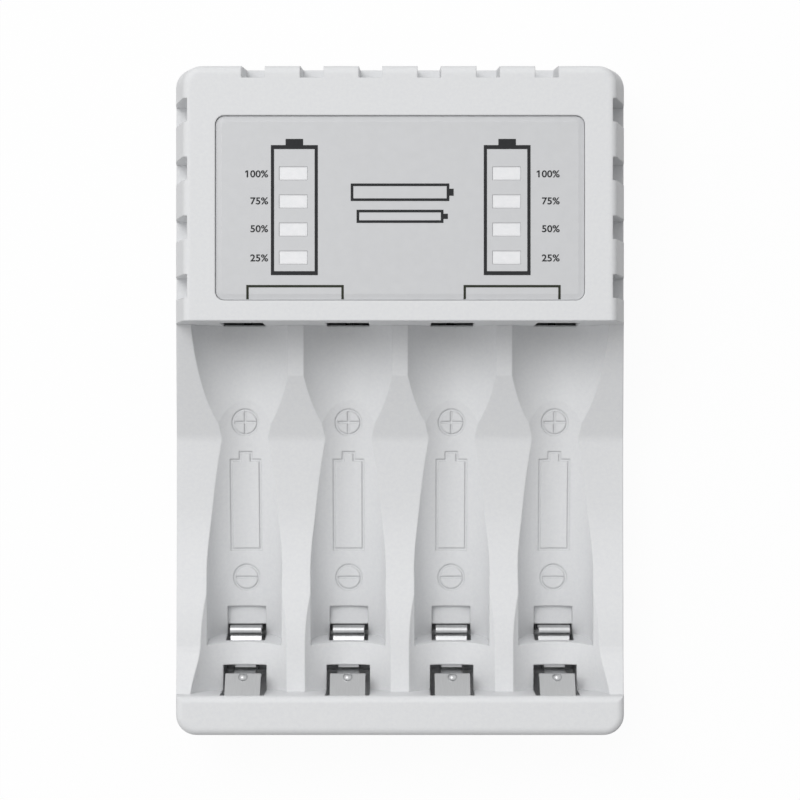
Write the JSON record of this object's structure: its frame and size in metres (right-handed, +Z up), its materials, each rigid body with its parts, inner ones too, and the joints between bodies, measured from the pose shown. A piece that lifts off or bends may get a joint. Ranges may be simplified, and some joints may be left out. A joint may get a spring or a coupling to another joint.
{
  "type": "battery charger",
  "caption": "Flat charger for AA and AAA cells: a tray of stepped round-bottomed bays with sprung contacts, under a raised head with a charge level panel.",
  "frame": {"origin": "centre of the underside, on the table", "axes": "+X across the bays to the right, +Y from the foot bar to the head, +Z up"},
  "size_m": [0.0644, 0.095, 0.026],
  "materials": {
    "white_shell": "fine moulded texture",
    "grey_panel": "smooth matt",
    "milky_guide": "milky diffusing",
    "green_board": "solder mask on glass laminate",
    "lamp_body": "clear resin",
    "black_package": "moulded",
    "capacitor_can": "drawn can",
    "steel_socket": "drawn, plated",
    "wire_sleeve": "smooth",
    "steel_screw": "zinc plated",
    "nickel_strip": "bright nickel plate"
  },
  "bodies": {
    "case": {"top_shell": "white_shell", "bottom_cover": "white_shell", "indicator_panel": "grey_panel", "light_guide_left": "milky_guide", "light_guide_right": "milky_guide", "circuit_board": "green_board", "indicator_leds": "lamp_body", "control_chip": "black_package", "power_transistors": "black_package", "smoothing_capacitor": "capacitor_can", "power_socket_shell": "steel_socket", "power_socket_tongue": "black_package", "return_leads": "wire_sleeve", "board_screws": "steel_screw", "case_screws": "steel_screw", "plus_contact_1": "nickel_strip", "plus_contact_2": "nickel_strip", "plus_contact_3": "nickel_strip", "plus_contact_4": "nickel_strip"},
    "aa_leaf_1": {"aa_contact_1": "nickel_strip"},
    "aa_leaf_2": {"aa_contact_2": "nickel_strip"},
    "aa_leaf_3": {"aa_contact_3": "nickel_strip"},
    "aa_leaf_4": {"aa_contact_4": "nickel_strip"},
    "aaa_leaf_1": {"aaa_contact_1": "nickel_strip"},
    "aaa_leaf_2": {"aaa_contact_2": "nickel_strip"},
    "aaa_leaf_3": {"aaa_contact_3": "nickel_strip"},
    "aaa_leaf_4": {"aaa_contact_4": "nickel_strip"}
  },
  "joints": [
    {"name": "aa_leaf_1_flex", "type": "hinge", "parent": "case", "child": "aa_leaf_1", "pos_m": [-0.0222, -0.03825, 0.0027], "axis": [1, 0, 0], "range_deg": [0, 8], "stiffness_Nm_per_rad": 0.25},
    {"name": "aa_leaf_2_flex", "type": "hinge", "parent": "case", "child": "aa_leaf_2", "pos_m": [-0.0074, -0.03825, 0.0027], "axis": [1, 0, 0], "range_deg": [0, 8], "stiffness_Nm_per_rad": 0.25},
    {"name": "aa_leaf_3_flex", "type": "hinge", "parent": "case", "child": "aa_leaf_3", "pos_m": [0.0074, -0.03825, 0.0027], "axis": [1, 0, 0], "range_deg": [0, 8], "stiffness_Nm_per_rad": 0.25},
    {"name": "aa_leaf_4_flex", "type": "hinge", "parent": "case", "child": "aa_leaf_4", "pos_m": [0.0222, -0.03825, 0.0027], "axis": [1, 0, 0], "range_deg": [0, 8], "stiffness_Nm_per_rad": 0.25},
    {"name": "aaa_leaf_1_flex", "type": "hinge", "parent": "case", "child": "aaa_leaf_1", "pos_m": [-0.0222, -0.03245, 0.0027], "axis": [1, 0, 0], "range_deg": [0, 9], "stiffness_Nm_per_rad": 0.08},
    {"name": "aaa_leaf_2_flex", "type": "hinge", "parent": "case", "child": "aaa_leaf_2", "pos_m": [-0.0074, -0.03245, 0.0027], "axis": [1, 0, 0], "range_deg": [0, 9], "stiffness_Nm_per_rad": 0.08},
    {"name": "aaa_leaf_3_flex", "type": "hinge", "parent": "case", "child": "aaa_leaf_3", "pos_m": [0.0074, -0.03245, 0.0027], "axis": [1, 0, 0], "range_deg": [0, 9], "stiffness_Nm_per_rad": 0.08},
    {"name": "aaa_leaf_4_flex", "type": "hinge", "parent": "case", "child": "aaa_leaf_4", "pos_m": [0.0222, -0.03245, 0.0027], "axis": [1, 0, 0], "range_deg": [0, 9], "stiffness_Nm_per_rad": 0.08}
  ]
}
